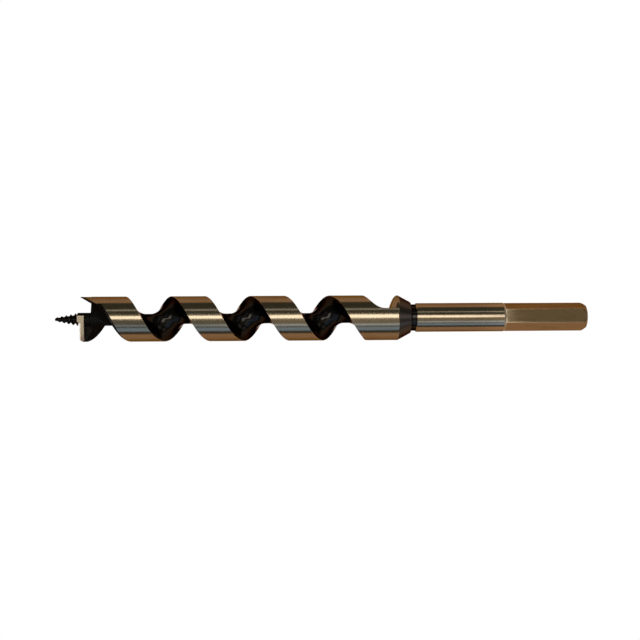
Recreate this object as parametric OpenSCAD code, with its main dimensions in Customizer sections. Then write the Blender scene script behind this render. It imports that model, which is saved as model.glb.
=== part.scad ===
// Single-flute auger bit for wood: a feed screw, a cutting lip and a spur in front of a right-hand twist,
// on a round shank with a hexagonal drive end.
// The axis lies along X. The origin is the middle of the shank's end face, and the feed screw points to -X.
// Angles round the axis run from +Y (0 degrees) towards +Z (90 degrees).

/* [Lengths along the axis] */
// Length of the hexagonal drive end
hex_length = 36.1; // [25:0.1:60]
// Length of the round part of the shank
round_length = 40.2; // [20:0.1:80]
// Length of the turned neck in front of the shank
neck_length = 2.3; // [1:0.1:6]
// Length of the cone behind the land
cone_length = 5.7; // [3:0.1:12]
// Length from the front of the hub to the end of the land
twist_length = 141.1; // [100:0.1:300]
// Length of the feed screw in front of the hub
screw_length = 10; // [7:0.5:14]

/* [Twist] */
// Diameter over the land, which is the diameter of the hole
land_d = 20; // [18:0.5:24]
// Advance of the land in one turn
pitch = 34.9; // [32:0.1:42]
// Width of the land along the axis
land_width = 14.7; // [12:0.1:18]
// Diameter of the solid core between the flutes
core_d = 4.5; // [4:0.1:5.2]
// Width of the hollow between the core and the edge of the land
flute_hollow = 7.7; // [5:0.1:8.5]
// Distance from the front of the hub to the middle of the first land, at 0 degrees
first_land = 13.45; // [12:0.05:14.5]
// Length of the last stretch of the twist, along which it stops turning
turn_end_length = 11; // [8:0.5:14]
// Advance of the helix along that stretch
turn_end_advance = 6.85; // [6:0.05:9]
// Distance from the place where the twist stops turning to the end of the land
turn_stop = 5.2; // [3:0.1:7]
// Length over which the flute runs out at the back
runout_length = 4.3; // [3.5:0.1:8]
// Diameter of the cone's back
cone_end_d = 13.8; // [12.6:0.1:15]
// Length of the bevel from the cone's back down to the neck
neck_bevel = 0.4; // [0.2:0.1:0.8]
// Diameter of the turned neck
neck_d = 11.8; // [10:0.1:12.4]

/* [Head] */
// Diameter of the hub that carries the feed screw
hub_d = 5.8; // [5.7:0.1:6.5]
// Length of the hub, with the end that is buried in the twist
hub_length = 9; // [8:0.5:14]
// Distance from the front of the hub to the square front of the twist
head_step = 6; // [5:0.25:6.5]
// Depth of the outside of the lip and the spur below the land
rim_inset = 0.1; // [0.05:0.05:0.3]

/* [Cutting lip] */
// Distance from the front of the hub to the cutting edge
lip_set_back = 1.2; // [0.2:0.1:2]
// Width of the ground face along the axis
lip_width = 1.8; // [1.4:0.1:3]
// Height of the ground face above the axis
lip_face = 2.4; // [2:0.1:2.6]
// Thickness of the lip behind its ground face
lip_depth = 3.4; // [3:0.1:4]
// Distance from the axis to the inner end of the lip
lip_root = 1.5; // [1.2:0.1:2]
// Clearance angle behind the cutting edge
lip_relief = 10; // [5:1:14]

/* [Spur] */
// Distance from the front of the hub to the point of the spur
spur_set_back = 1.1; // [0.4:0.1:2]
// Thickness of the spur where it leaves the twist
spur_thickness = 3; // [2:0.1:4]
// Angle at which the spur starts
spur_from = -8; // [-15:1:-2]
// Angle at which the spur ends
spur_to = 47; // [35:1:55]
// Angle of the spur's crest to the axis
spur_slope = 31; // [26:1:38]
// Angle by which the crest leans back from the upright
spur_lean = 9; // [4:1:14]

/* [Feed screw] */
// Diameter over the thread at the hub
screw_d = 5.7; // [5:0.1:5.8]
// Diameter at the point
screw_point_d = 1.1; // [0.8:0.1:1.4]
// Advance of the thread in one turn
thread_pitch = 2; // [1.5:0.1:2.5]
// Depth of the thread at the hub
thread_depth = 0.8; // [0.5:0.05:1]
// Width of the thread at its foot
thread_foot = 1.25; // [0.8:0.05:1.4]
// Diameter of the spigot in the hub
screw_spigot_d = 3; // [2.4:0.1:3.2]
// Length of the spigot in the hub
screw_spigot_length = 8; // [5:0.5:10]

/* [Shank] */
// Diameter of the round shank
round_d = 12.8; // [12.8:0.1:14]
// Width across the flats of the drive end
hex_flats = 11; // [9:0.1:11]
// Angle of the first flat
hex_turn = 84; // [60:1:119]
// Length of the rounding on the end of the hexagon
hex_round_length = 2.2; // [1:0.1:3.5]
// Diameter of the end face inside the rounding
hex_end_d = 10; // [8:0.1:10.6]
// Bevel on the front edge of the round shank
round_bevel = 0.3; // [0.1:0.05:0.6]
// Length of the shoulder between the round shank and the flats
shoulder_length = 1.2; // [0.6:0.1:3]
// Diameter of the spigot in the back of the twist
shank_spigot_d = 7; // [5:0.1:8]
// Reach of the spigot into the twist, past the end of the land
shank_spigot_reach = 3; // [1:0.5:3.5]

/* [Fits] */
// Brazing gap round a spigot and behind the lip
braze_gap = 0.03; // [0.02:0.01:0.06]

/* [Hidden] */
$fn = 96;

// Cutting tools reach this far past what they cut
past = 1;
// Depth of the foot of the shank's shoulder below the flats
shoulder_sink = 0.3;
// Steps of the twist and of the thread in one turn
turn_steps = 24;
thread_steps = 16;
// Steps across the land, down each hollow, along the core and along the last stretch of the twist
land_steps = 14;
hollow_steps = 6;
core_steps = 6;
end_steps = 22;
// Power of the curve along which the twist stops turning
turn_power = 2.5;

land_r = land_d / 2;
core_r = core_d / 2;
hub_r = hub_d / 2;
cone_end_r = cone_end_d / 2;
neck_r = neck_d / 2;
back_length = hex_length + round_length;
hub_x = -(back_length + neck_length + cone_length + twist_length);
cone_end = twist_length + cone_length;
neck_end = cone_end + neck_length;
runout_start = twist_length - runout_length;
turn_end_start = twist_length - turn_stop - turn_end_length;
shank_spigot_length = shank_spigot_reach + cone_length + neck_length;
half_land = 180 * land_width / pitch;
hollow_angle = 360 * flute_hollow / pitch;
core_angle = 360 - 2 * half_land - 2 * hollow_angle;
lip_back = lip_set_back + lip_width;
lip_seat = lip_face - lip_depth;
thread_step = thread_pitch / thread_steps;
thread_rings = round(screw_length / thread_step);

// Places a shape that stands on Z along the axis, with its foot at the distance s behind the hub's front.
module on_axis(s) {
    translate([hub_x + s, 0, 0])
        rotate([0, 90, 0])
            children();
}

// Share of a stretch that lies in front of s, from 0 to 1.
function share_along(s, start, length) = max(0, min(1, (s - start) / length));

// Advance of the helix at s: as s itself, and then slowing to a stop along the last stretch.
function helix_advance(s) =
    let (left = 1 - share_along(s, turn_end_start, turn_end_length))
    min(s, turn_end_start) + turn_end_advance * (1 - pow(left, turn_power));

// Middle of the land at s, as an angle.
function land_angle(s) = 360 * (helix_advance(s) - first_land) / pitch;

// Outside radius: the land, then the cone, then the bevel and the neck.
function outside_r(s) =
    let (cone = share_along(s, twist_length, cone_length), bevel = share_along(s, cone_end, neck_bevel))
    land_r + (cone_end_r - land_r) * cone + (neck_r - cone_end_r) * bevel;

// Depth of the flute at s: full along the twist, and lifting out in a curve along the run-out.
function flute_depth(s) =
    let (left = 1 - share_along(s, runout_start, runout_length))
    (land_r - core_r) * left * left;

// One hollow from the edge of the land to the core, as pairs of angle and share of the flute's depth.
function hollow_pairs() = [
    for (i = [0 : hollow_steps])
        let (t = 90 * i / hollow_steps)
        [hollow_angle * (1 - cos(t)), sin(t)]
];

// Section of the twist as pairs of angle from the middle of the land and share of the flute's depth.
section = [
    for (i = [1 : land_steps - 1]) [half_land * (2 * i / land_steps - 1), 0],
    for (p = hollow_pairs()) [half_land + p[0], p[1]],
    for (i = [1 : core_steps - 1]) [half_land + hollow_angle + core_angle * i / core_steps, 1],
    for (i = [hollow_steps : -1 : 0])
        let (p = hollow_pairs()[i])
        [360 - half_land - p[0], p[1]]
];

// Places of the rings along the twist.
turn_count = ceil(turn_end_start / pitch * turn_steps);
ring_places = [
    for (i = [0 : turn_count - 1]) turn_end_start * i / turn_count,
    for (i = [0 : end_steps]) turn_end_start + (twist_length - turn_end_start) * i / end_steps,
    cone_end,
    cone_end + neck_bevel,
    neck_end
];

// One ring of points at s.
function twist_ring(s) = [
    for (p = section)
        let (r = outside_r(s) - flute_depth(s) * p[1], a = land_angle(s) + p[0])
        [hub_x + s, r * cos(a), r * sin(a)]
];

// Skin over equal rings of points, with a fan from a middle point over each end. Each patch between four
// points is split from its first point to the opposite one if rising is true, and otherwise the other way.
module ring_skin(rings, rising) {
    n = len(rings[0]);
    last = len(rings) - 1;
    front = n * len(rings);
    back = front + 1;
    middle_front = [rings[0][0][0], 0, 0];
    middle_back = [rings[last][0][0], 0, 0];
    points = [for (ring = rings) each ring, middle_front, middle_back];
    sides = [
        for (k = [0 : last - 1], j = [0 : n - 1])
            let (a = k * n + j, b = k * n + (j + 1) % n)
            each rising ? [[a, b + n, b], [a, a + n, b + n]] : [[a, a + n, b], [b, a + n, b + n]]
    ];
    ends = [
        for (j = [0 : n - 1])
            let (next = (j + 1) % n)
            each [[front, j, next], [back, last * n + next, last * n + j]]
    ];
    polyhedron(points, concat(sides, ends), convexity = 10);
}

// Land, flute, core, cone and neck, before the head is cut.
module flighted_bar() {
    ring_skin([for (s = ring_places) twist_ring(s)], rising = false);
}

// What is cut from the front of the bar: the spur's side, the chip mouth and the clearance behind the lip.
module head_cut() {
    reach = land_r + past;
    translate([hub_x - past, 0, -reach])
        cube([head_step + past, reach, 2 * reach]);
    translate([hub_x - past, -reach, lip_seat - braze_gap])
        cube([head_step + past, reach + past, 2 * reach]);
    lip_clearance();
}

// Space in front of the plane that falls away behind the cutting edge.
module lip_clearance() {
    reach = land_r + past;
    translate([hub_x + lip_set_back, 0, lip_face])
        rotate([0, -lip_relief, 0])
            translate([-2 * reach, -reach, -2 * reach])
                cube([2 * reach, reach + past, 4 * reach]);
}

// Scoring tooth at the rim. One leaning plane forms its crest and runs back from its point to its inner side.
module spur() {
    outer = land_r - rim_inset;
    root = first_land - land_width / 2 + pitch * spur_to / 360 + past;
    difference() {
        on_axis(spur_set_back)
            rotate([0, 0, 90 + spur_from])
                rotate_extrude(angle = spur_to - spur_from)
                    translate([land_r - spur_thickness, 0])
                        square([spur_thickness - rim_inset, root - spur_set_back]);
        translate([hub_x + spur_set_back, outer, 0])
            rotate([0, 0, -spur_slope])
                rotate([-spur_lean, 0, 0])
                    translate([-land_d, -land_d, -land_d])
                        cube([2 * land_d, land_d, 2 * land_d]);
    }
}

// Hub with the flat that is ground level with the lip.
module hub() {
    difference() {
        on_axis(0)
            cylinder(h = hub_length, r = hub_r);
        translate([hub_x - past, -hub_r, lip_face])
            cube([lip_back + past, hub_d, hub_r]);
    }
}

// Twisted body with its core, hub, spur, cone and neck, and the sockets of the feed screw and the shank.
module twist() {
    color("dimgray")
        difference() {
            union() {
                difference() {
                    flighted_bar();
                    head_cut();
                }
                hub();
                spur();
            }
            on_axis(-past)
                cylinder(h = screw_spigot_length + braze_gap + past, d = screw_spigot_d + 2 * braze_gap);
            on_axis(neck_end - shank_spigot_length - braze_gap)
                cylinder(h = shank_spigot_length + braze_gap + past, d = shank_spigot_d + 2 * braze_gap);
        }
}

// Hard steel lip, seated against the hub and the end of the flight and ground flat on its face.
module cutting_lip() {
    color("tan")
        difference() {
            intersection() {
                on_axis(0)
                    cylinder(h = head_step, r = land_r - rim_inset);
                translate([hub_x + lip_set_back, -land_r, lip_seat])
                    cube([lip_width, land_r - lip_root, lip_depth]);
            }
            on_axis(-past)
                cylinder(h = hub_length, r = hub_r + braze_gap);
            lip_clearance();
        }
}

// Radius of the feed screw's root and the height of its thread at z above the hub.
function screw_share(z) = max(0, 1 - z / screw_length);
function screw_root(z) =
    screw_point_d / 2 + (screw_d / 2 - thread_depth - screw_point_d / 2) * screw_share(z);
function thread_height(z) = thread_depth * sqrt(screw_share(z));

// Share of the thread's height at a phase from 0 to 1: a sharp crest with a root between.
function thread_share(phase) = max(0, 1 - abs(2 * phase - 1) * thread_pitch / thread_foot);

// One ring of the feed screw at z above the hub, in front of it on the axis.
function screw_ring(z) = [
    for (j = [0 : thread_steps - 1])
        let (
            turn = z / thread_pitch - j / thread_steps,
            r = screw_root(z) + thread_height(z) * thread_share(turn - floor(turn)),
            a = -360 * j / thread_steps
        )
        [hub_x - z, r * cos(a), r * sin(a)]
];

// Tapered wood thread with a plain spigot behind it.
module feed_screw() {
    places = [for (k = [0 : thread_rings - 1]) k * thread_step, screw_length];
    color("darkslategray")
        union() {
            ring_skin([for (z = places) screw_ring(z)], rising = true);
            on_axis(-braze_gap)
                cylinder(h = screw_spigot_length + braze_gap, d = screw_spigot_d);
        }
}

// What is turned off a bar past a sphere, with the radius wide at the foot and narrow at the height length.
module turned_off(wide, narrow, length) {
    reach = (wide * wide + length * length - narrow * narrow) / (2 * length);
    sphere_r = norm([narrow, reach]);
    translate([0, 0, length - reach])
        difference() {
            cylinder(h = reach + past, r = sphere_r + past);
            sphere(r = sphere_r);
        }
}

// Round part of the shank, with the spigot in front of it and the shoulder at its back.
module round_bar() {
    round_r = round_d / 2;
    spigot_r = shank_spigot_d / 2;
    turned = [
        [0, -shank_spigot_length],
        [spigot_r, -shank_spigot_length],
        [spigot_r, 0],
        [round_r - round_bevel, 0],
        [round_r, round_bevel],
        [round_r, round_length],
        [0, round_length]
    ];
    difference() {
        rotate_extrude()
            polygon(turned);
        translate([0, 0, round_length - shoulder_length])
            turned_off(round_r, hex_flats / 2 - shoulder_sink, shoulder_length);
    }
}

// Hexagonal drive end with a rounded end. Its first part is buried in the shoulder of the round part.
module hex_bar() {
    hex_r = hex_flats / 2 / cos(30);
    full_length = hex_length + shoulder_length;
    difference() {
        rotate([0, 0, hex_turn])
            cylinder(h = full_length, r = hex_r, $fn = 6);
        translate([0, 0, full_length - hex_round_length])
            turned_off(hex_r, hex_end_d / 2, hex_round_length);
    }
}

// Round shank with its front spigot, and the hexagonal drive end.
module shank() {
    color("silver")
        union() {
            on_axis(neck_end)
                round_bar();
            on_axis(neck_end + round_length - shoulder_length)
                hex_bar();
        }
}

twist();
cutting_lip();
feed_screw();
shank();
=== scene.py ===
"""Looks of a single-flute auger bit for wood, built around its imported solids.

The frame is that of the solids. The axis of the bit lies along X and the feed screw points to -X. Lengths
in the classes of the bit are millimetres, and those of the studio and of the relief of a finish are metres.
A place s along the bit is measured from the front of the hub, and an angle round the axis runs from +Y
(0 degrees) towards +Z (90 degrees).
"""

import itertools
import logging
import math
from dataclasses import dataclass
from enum import Enum
from functools import cached_property
from typing import Mapping, Optional, Sequence, Union

import bmesh
import bpy
import numpy as np
from mathutils import Matrix, Vector


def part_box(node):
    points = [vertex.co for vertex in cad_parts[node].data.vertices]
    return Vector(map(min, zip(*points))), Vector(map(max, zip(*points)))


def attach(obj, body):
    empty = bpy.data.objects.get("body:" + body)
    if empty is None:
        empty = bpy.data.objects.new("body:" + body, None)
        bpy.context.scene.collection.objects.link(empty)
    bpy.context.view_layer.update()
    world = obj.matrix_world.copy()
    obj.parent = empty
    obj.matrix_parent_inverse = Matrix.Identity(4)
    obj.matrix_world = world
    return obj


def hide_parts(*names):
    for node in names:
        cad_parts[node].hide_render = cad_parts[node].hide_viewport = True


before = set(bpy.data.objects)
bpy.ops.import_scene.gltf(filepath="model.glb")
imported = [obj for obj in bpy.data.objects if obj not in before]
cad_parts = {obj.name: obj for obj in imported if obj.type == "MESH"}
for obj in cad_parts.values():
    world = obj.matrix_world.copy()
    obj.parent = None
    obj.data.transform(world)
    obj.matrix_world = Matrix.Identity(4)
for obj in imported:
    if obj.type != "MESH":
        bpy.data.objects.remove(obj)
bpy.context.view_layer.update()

MM = 0.001
BODY = "root"
SHARP_ANGLE = math.radians(32)
HEX_SIDES = 6
SIDE_ANGLE = 360 / HEX_SIDES
HALF_SIDE = math.radians(SIDE_ANGLE / 2)
# Points on a quarter of a circle, and the length by which a cutting shape runs past what it cuts.
ARC_POINTS = 9
OVERRUN = 1.0
LOG = logging.getLogger("auger_bit")

Colour = tuple[float, float, float]
Point = tuple[float, float, float]
Pair = tuple[float, float]
Number = Union[int, float]
Operand = Union["Value", Number]

WHITE: Colour = (1.0, 1.0, 1.0)
ALONG_X: Point = (1.0, 0.0, 0.0)
ALONG_Y: Point = (0.0, 1.0, 0.0)
# Place on the shank, in metres, at which the lamps beyond the drive end are aimed.
REAR: Point = (-0.08, 0.0, 0.0)


class Carving(Enum):
    """How one closed mesh works on another."""

    JOIN = "UNION"
    CUT = "DIFFERENCE"


class Slot(Enum):
    """Material slots of the record."""

    TWIST = "twist_steel"
    LIP = "lip_steel"
    SCREW = "screw_steel"
    SHANK = "shank_steel"


class Value:
    """Output of a shader node, with arithmetic that adds Math nodes behind it."""

    def __init__(self, graph: "Graph", socket: Optional[bpy.types.NodeSocket]) -> None:
        """Keep the node tree and the socket."""
        self.graph = graph
        self.socket = socket

    def _math(self, operation: str, *operands: Operand) -> "Value":
        """Output of a Math node with this operation on these operands."""
        return self.graph.node("ShaderNodeMath", {"operation": operation}, dict(enumerate(operands)))

    def __add__(self, other: Operand) -> "Value":
        """Sum."""
        return self._math("ADD", self, other)

    __radd__ = __add__

    def __sub__(self, other: Operand) -> "Value":
        """Difference."""
        return self._math("SUBTRACT", self, other)

    def __rsub__(self, other: Number) -> "Value":
        """Difference from a number."""
        return self._math("SUBTRACT", other, self)

    def __mul__(self, other: Operand) -> "Value":
        """Product."""
        return self._math("MULTIPLY", self, other)

    __rmul__ = __mul__

    def __pow__(self, power: Number) -> "Value":
        """Power."""
        return self._math("POWER", self, power)

    def __abs__(self) -> "Value":
        """Distance from zero."""
        return self._math("ABSOLUTE", self)

    def most(self, other: Operand) -> "Value":
        """Larger of two values."""
        return self._math("MAXIMUM", self, other)

    def angle_from(self, along: "Value") -> "Value":
        """Angle in radians of the point with this height above the other side."""
        return self._math("ARCTAN2", self, along)

    def rise(self, low: Number, high: Number) -> "Value":
        """Smooth step from 0 below the low value to 1 above the high one."""
        limits = {"Value": self, "From Min": low, "From Max": high}
        return self.graph.node("ShaderNodeMapRange", {"interpolation_type": "SMOOTHSTEP"}, limits)

    def fall(self, low: Number, high: Number) -> "Value":
        """Smooth step from 1 below the low value to 0 above the high one."""
        return 1 - self.rise(low, high)


Input = Union[Value, Number, Sequence[Number]]


class Graph:
    """Node tree of a material or of the world."""

    def __init__(self, tree: bpy.types.NodeTree) -> None:
        """Start with an empty tree."""
        tree.nodes.clear()
        self.tree = tree

    def node(
        self,
        kind: str,
        settings: Optional[Mapping[str, object]] = None,
        inputs: Optional[Mapping[Union[int, str], Input]] = None,
        output: Union[int, str] = 0,
    ) -> Value:
        """Add a node.

        Args:
            kind: Type of the node.
            settings: Properties of the node, which are set first.
            inputs: Values or links of its sockets, by name or number.
            output: Name or number of the output that is wanted.

        Returns:
            That output.
        """
        made = self.tree.nodes.new(kind)
        for name, setting in (settings or {}).items():
            setattr(made, name, setting)
        for name, value in (inputs or {}).items():
            socket = made.inputs[name]
            if isinstance(value, Value):
                self.tree.links.new(value.socket, socket)
            elif socket.type == "RGBA" and len(value) == 3:
                socket.default_value = (*value, 1.0)
            else:
                socket.default_value = value
        return Value(self, made.outputs[output] if made.outputs else None)

    def mix(self, share: Input, first: Input, second: Input) -> Value:
        """Colour that goes from the first to the second while the share goes from 0 to 1."""
        # A Mix node has its colours in sockets 6 and 7, and their blend in output 2.
        return self.node("ShaderNodeMix", {"data_type": "RGBA"}, {0: share, 6: first, 7: second}, 2)

    @cached_property
    def place(self) -> Value:
        """Place on the bit, in millimetres."""
        metres = self.node("ShaderNodeTexCoord", output="Object")
        return self.scaled(metres, (1 / MM, 1 / MM, 1 / MM))

    def scaled(self, vector: Value, factors: Sequence[Number]) -> Value:
        """Vector with each side multiplied by its own factor."""
        return self.node("ShaderNodeVectorMath", {"operation": "MULTIPLY"}, {0: vector, 1: factors})

    def sides(self, vector: Value) -> tuple[Value, ...]:
        """Three sides of a vector."""
        split = self.node("ShaderNodeSeparateXYZ", inputs={0: vector}).socket.node
        return tuple(Value(self, output) for output in split.outputs)

    def noise(self, grains: Point, detail: float = 2.0, roughness: float = 0.5) -> Value:
        """Smooth noise about 0.5.

        Args:
            grains: Number of grains in one millimetre along each axis.
            detail: Number of finer layers.
            roughness: Strength of the finer layers.

        Returns:
            The noise.
        """
        vector = self.scaled(self.place, grains)
        inputs = {"Vector": vector, "Scale": 1.0, "Detail": detail, "Roughness": roughness}
        return self.node("ShaderNodeTexNoise", None, inputs, "Fac")

    def steel(
        self, colour: Value, roughness: Value, relief: Value, depth: float, edge: Colour = WHITE
    ) -> None:
        """Add the shader of bare steel, and the output.

        Args:
            colour: Colour of the steel.
            roughness: Its roughness.
            relief: Height of its relief, from 0 to 1.
            depth: Full height of the relief in metres.
            edge: Tint of the steel where it is seen at a low angle.
        """
        bump = {"Strength": 1.0, "Distance": depth, "Height": relief}
        inputs = {
            "Base Color": colour,
            "Metallic": 1.0,
            "Roughness": roughness,
            "Specular Tint": edge,
            "Normal": self.node("ShaderNodeBump", None, bump),
        }
        shader = self.node("ShaderNodeBsdfPrincipled", None, inputs)
        self.node("ShaderNodeOutputMaterial", None, {"Surface": shader})


def new_material(name: str) -> tuple[bpy.types.Material, Graph]:
    """Make an empty material.

    Args:
        name: Name of the material.

    Returns:
        The material and its node tree.
    """
    material = bpy.data.materials.new(name)
    material.use_nodes = True
    return material, Graph(material.node_tree)


class SolidMesh:
    """Closed mesh built from points in millimetres."""

    def __init__(self, name: str, points: np.ndarray, faces: Sequence[Sequence[int]]) -> None:
        """Make the object.

        Args:
            name: Name of the object.
            points: Points in millimetres, one to a row.
            faces: Numbers of the points of each face.
        """
        mesh = bpy.data.meshes.new(name)
        mesh.from_pydata((np.asarray(points, float) * MM).tolist(), [], faces)
        shape = bmesh.new()
        shape.from_mesh(mesh)
        bmesh.ops.recalc_face_normals(shape, faces=shape.faces)
        shape.to_mesh(mesh)
        shape.free()
        self.object = bpy.data.objects.new(name, mesh)
        bpy.context.scene.collection.objects.link(self.object)

    @classmethod
    def skin(cls, name: str, rings: np.ndarray, on_axis: bool = False) -> "SolidMesh":
        """Skin over equal rings of points, closed by a fan over each end.

        Args:
            name: Name of the object.
            rings: Points, as rings by columns by sides.
            on_axis: Whether the fans meet on the axis of the bit, and not in the middle of their ring.

        Returns:
            The mesh.
        """
        count, columns, _ = rings.shape
        middles = [rings[0].mean(axis=0), rings[-1].mean(axis=0)]
        if on_axis:
            middles = [middle * np.array([1.0, 0.0, 0.0]) for middle in middles]
        front = count * columns
        back = front + 1
        last = front - columns
        faces: list[tuple[int, ...]] = []
        for column in range(columns):
            following = (column + 1) % columns
            for k in range(0, last, columns):
                faces.append((k + column, k + following, k + columns + following, k + columns + column))
            faces.append((front, following, column))
            faces.append((back, last + column, last + following))
        return cls(name, np.vstack([rings.reshape(-1, 3), middles]), faces)

    @classmethod
    def turned(cls, name: str, profile: Sequence[Pair], columns: int = 96) -> "SolidMesh":
        """Turn a profile round the axis.

        Args:
            name: Name of the object.
            profile: Pairs of place along X and radius.
            columns: Number of points round the axis.

        Returns:
            The mesh.
        """
        angles = np.linspace(0, 2 * math.pi, columns, endpoint=False)
        rings = [polar_ring(x, np.full(columns, radius), angles) for x, radius in profile]
        return cls.skin(name, np.array(rings))

    @classmethod
    def block(cls, name: str, low: Point, high: Point, move: Optional[Matrix] = None) -> "SolidMesh":
        """Block between two corners.

        Args:
            name: Name of the object.
            low: Lowest corner.
            high: Highest corner.
            move: Turn and shift of the block.

        Returns:
            The mesh.
        """
        sides = zip(low, high)
        corners = [Vector(corner) for corner in itertools.product(*sides)]
        if move is not None:
            corners = [move @ corner for corner in corners]
        faces = [(0, 1, 3, 2), (4, 6, 7, 5), (0, 4, 5, 1), (2, 3, 7, 6), (0, 2, 6, 4), (1, 5, 7, 3)]
        return cls(name, np.array(corners), faces)

    @classmethod
    def prism(cls, name: str, outline: Sequence[Pair], low: float, high: float) -> "SolidMesh":
        """Upright prism over an outline.

        Args:
            name: Name of the object.
            outline: Pairs of X and Y.
            low: Height of its foot.
            high: Height of its top.

        Returns:
            The mesh.
        """
        count = len(outline)
        points = [(x, y, z) for z in (low, high) for x, y in outline]
        faces: list[tuple[int, ...]] = [tuple(range(count)), tuple(range(count, 2 * count))]
        for i in range(count):
            following = (i + 1) % count
            faces.append((i, following, count + following, count + i))
        return cls(name, np.array(points), faces)

    def carve(self, tool: "SolidMesh", how: Carving) -> None:
        """Work on this mesh with another one, which is used up.

        Args:
            tool: The other mesh.
            how: What it does.
        """
        modifier = self.object.modifiers.new("carve", "BOOLEAN")
        modifier.object = tool.object
        modifier.operation = how.value
        modifier.solver = "EXACT"
        self._apply()
        bpy.data.objects.remove(tool.object)

    def soften(self, width: float, segments: int = 3) -> None:
        """Round the sharp edges.

        Args:
            width: Width of the rounding in millimetres.
            segments: Number of faces across it.
        """
        modifier = self.object.modifiers.new("soften", "BEVEL")
        modifier.width = width * MM
        modifier.segments = segments
        modifier.limit_method = "ANGLE"
        modifier.angle_limit = SHARP_ANGLE
        self._apply()

    def shade(self) -> None:
        """Shade the mesh smoothly between its sharp edges, by the area of its faces."""
        mesh = self.object.data
        mesh.polygons.foreach_set("use_smooth", [True] * len(mesh.polygons))
        mesh.set_sharp_from_angle(angle=SHARP_ANGLE)
        modifier = self.object.modifiers.new("shade", "WEIGHTED_NORMAL")
        modifier.keep_sharp = True
        self._apply()

    def _apply(self) -> None:
        """Put the result of the modifiers in the mesh."""
        bpy.context.view_layer.update()
        depsgraph = bpy.context.evaluated_depsgraph_get()
        made = bpy.data.meshes.new_from_object(self.object.evaluated_get(depsgraph), depsgraph=depsgraph)
        made.name = self.object.name
        self.object.modifiers.clear()
        self.object.data = made

    def hand_over(self, node: str, slot: Slot, material: bpy.types.Material) -> None:
        """Dress the mesh and let it stand for a node of the solids.

        Args:
            node: Name of the node.
            slot: Slot of the record; not used.
            material: Finish of the mesh.
        """
        self.shade()
        self.object.data.materials.clear()
        self.object.data.materials.append(material)
        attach(self.object, BODY)
        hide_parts(node)
        LOG.info("%s stands for %s with %d faces", self.object.name, node, len(self.object.data.polygons))


def polar_ring(x: float, radii: np.ndarray, angles: np.ndarray) -> np.ndarray:
    """Ring of points at x, with the distance from the axis and the angle in radians of each."""
    return np.column_stack([np.full(len(angles), x), radii * np.cos(angles), radii * np.sin(angles)])


def blended(first: np.ndarray, second: np.ndarray, width: float) -> np.ndarray:
    """Smaller of two values, rounded where they differ by less than the width."""
    share = np.clip(0.5 + 0.5 * (second - first) / width, 0.0, 1.0)
    return second + (first - second) * share - width * share * (1 - share)


def quarter_turn(points: int = ARC_POINTS) -> np.ndarray:
    """Angles in radians of points on a quarter of a circle."""
    return np.radians(np.linspace(0, 90, points))


def ease(share: float) -> float:
    """Smooth fall from 1 to 0 while the share goes from 0 to 1."""
    return (1 - share) ** 2 * (1 + 2 * share)


def spread(ends: Sequence[float], counts: Sequence[int]) -> np.ndarray:
    """Places along several stretches.

    Args:
        ends: Ends of the stretches, in order.
        counts: Number of steps in each stretch.

    Returns:
        The places, from the first end to the last.
    """
    stretches = zip(ends, ends[1:], counts)
    places = [np.linspace(low, high, count, endpoint=False) for low, high, count in stretches]
    return np.concatenate([*places, [ends[-1]]])


@dataclass(frozen=True)
class GroundSteel:
    """Steel that is ground round the axis and polished. Grains are counted in one millimetre."""

    colour: Colour = (0.30, 0.235, 0.165)
    stain: Colour = (0.24, 0.17, 0.11)
    edge: Colour = (0.30, 0.20, 0.13)
    roughness: float = 0.11
    roughness_spread: float = 0.06
    line_depth: float = 4e-6
    fine_grain: Point = (9.0, 0.25, 0.25)
    fine_share: float = 0.6
    broad_grain: Point = (1.6, 0.12, 0.12)
    stain_grain: Point = (0.08, 0.3, 0.3)
    stain_range: Pair = (0.45, 0.75)
    stain_share: float = 0.5
    smear_grain: Point = (0.1, 0.5, 0.5)

    def lines(self, graph: Graph) -> Value:
        """Fine grinding lines round the axis.

        Args:
            graph: Node tree of the material.

        Returns:
            Height of the lines from 0 to 1.
        """
        fine = graph.noise(self.fine_grain, detail=3.0, roughness=0.6)
        broad = graph.noise(self.broad_grain)
        return fine * self.fine_share + broad * (1 - self.fine_share)

    def tone(self, graph: Graph) -> Value:
        """Colour of the steel with faint stains."""
        stains = graph.noise(self.stain_grain, detail=4.0, roughness=0.6).rise(*self.stain_range)
        return graph.mix(stains * self.stain_share, self.colour, self.stain)

    def gloss(self, graph: Graph, lines: Value) -> Value:
        """Roughness, which follows the lines and a few smears."""
        smears = graph.noise(self.smear_grain, detail=3.0)
        return self.roughness + (lines + smears) * self.roughness_spread


@dataclass(frozen=True)
class DrawnSteel(GroundSteel):
    """Steel that is drawn to a hexagon."""

    colour: Colour = (0.31, 0.235, 0.155)
    stain: Colour = (0.21, 0.15, 0.09)
    roughness: float = 0.0
    drawn_grain: Point = (0.15, 5.0, 5.0)

    def lines(self, graph: Graph) -> Value:
        """Fine lines along the axis, from 0 to 1."""
        return graph.noise(self.drawn_grain, detail=3.0, roughness=0.6)


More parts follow.
